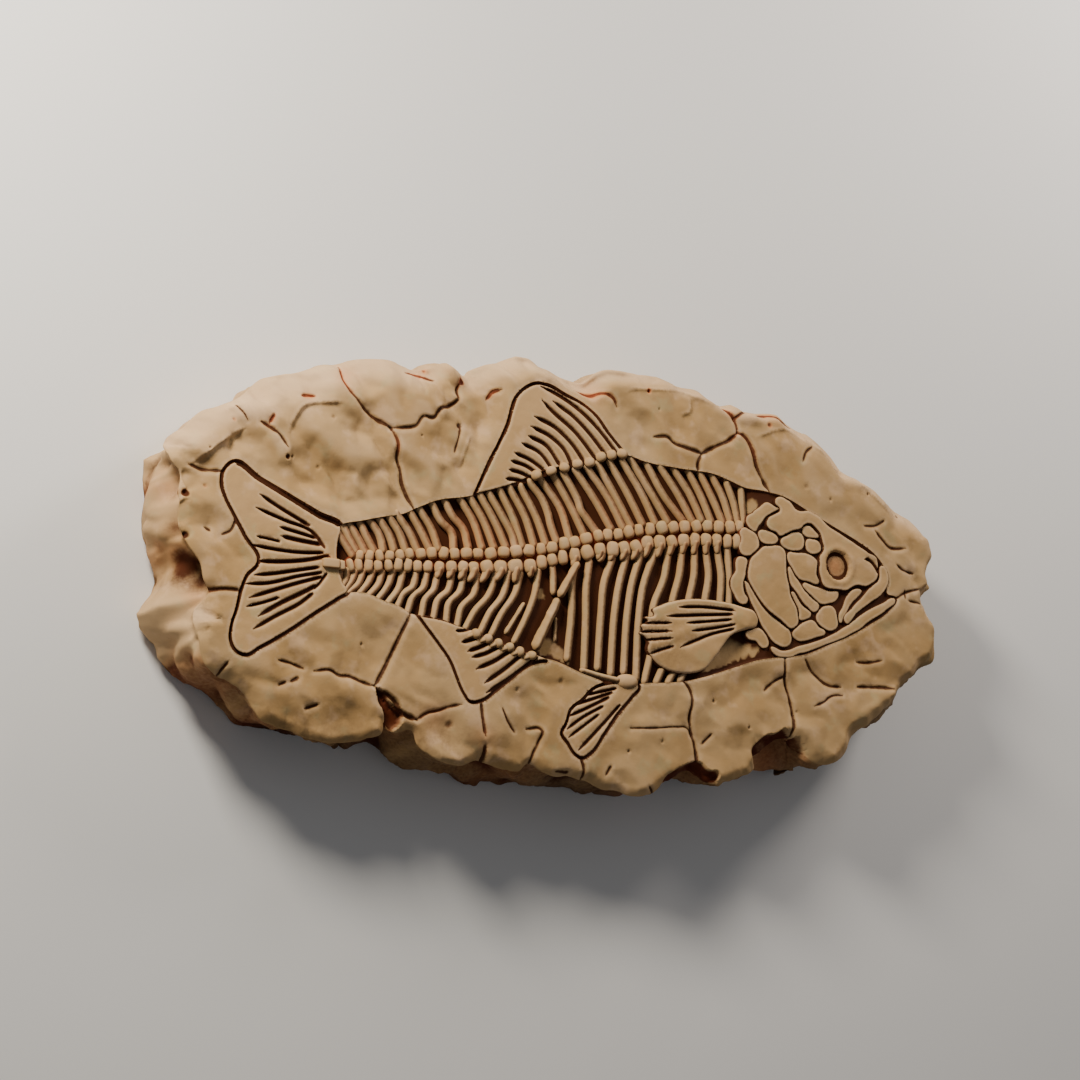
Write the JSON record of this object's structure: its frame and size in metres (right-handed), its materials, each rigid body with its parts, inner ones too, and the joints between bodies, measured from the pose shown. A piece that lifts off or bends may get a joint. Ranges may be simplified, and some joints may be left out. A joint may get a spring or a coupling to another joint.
{
  "type": "fossil fish slab",
  "caption": "Rough oval stone slab that lies flat, with the complete skeleton of a fish in relief in a shallow bed in its upper face.",
  "frame": {"origin": "middle of the slab's flat base", "axes": "+Z out of the face that shows the fish, +X along the fish from tail to snout, +Y from its belly towards its back fin"},
  "size_m": [0.249, 0.1235, 0.027],
  "materials": {
    "stone": "rough limestone, matt",
    "bone": "fossil bone, matt"
  },
  "bodies": {
    "root": {"stone_slab": "stone", "backbone": "bone", "tail_fin": "bone", "back_fin": "bone", "belly_fin": "bone", "pelvic_fin": "bone", "side_fin": "bone", "skull_roof": "bone", "temple_bone": "bone", "orbit_bone": "bone", "nape_crescent": "bone", "neck_bone": "bone", "nape_bone": "bone", "gill_cover": "bone", "shoulder_bone": "bone", "shoulder_blade": "bone", "cheek_plate": "bone", "cheek_bar": "bone", "gill_bar": "bone", "cheek_lower": "bone", "jaw_joint": "bone", "lower_gill_cover": "bone", "upper_jaw": "bone", "tooth_bone": "bone", "lower_jaw": "bone", "throat_bone": "bone", "eye_disc": "bone", "broken_bone_upper": "bone", "broken_bone_lower": "bone", "broken_rib_front": "bone", "broken_rib_back": "bone"}
  },
  "joints": []
}
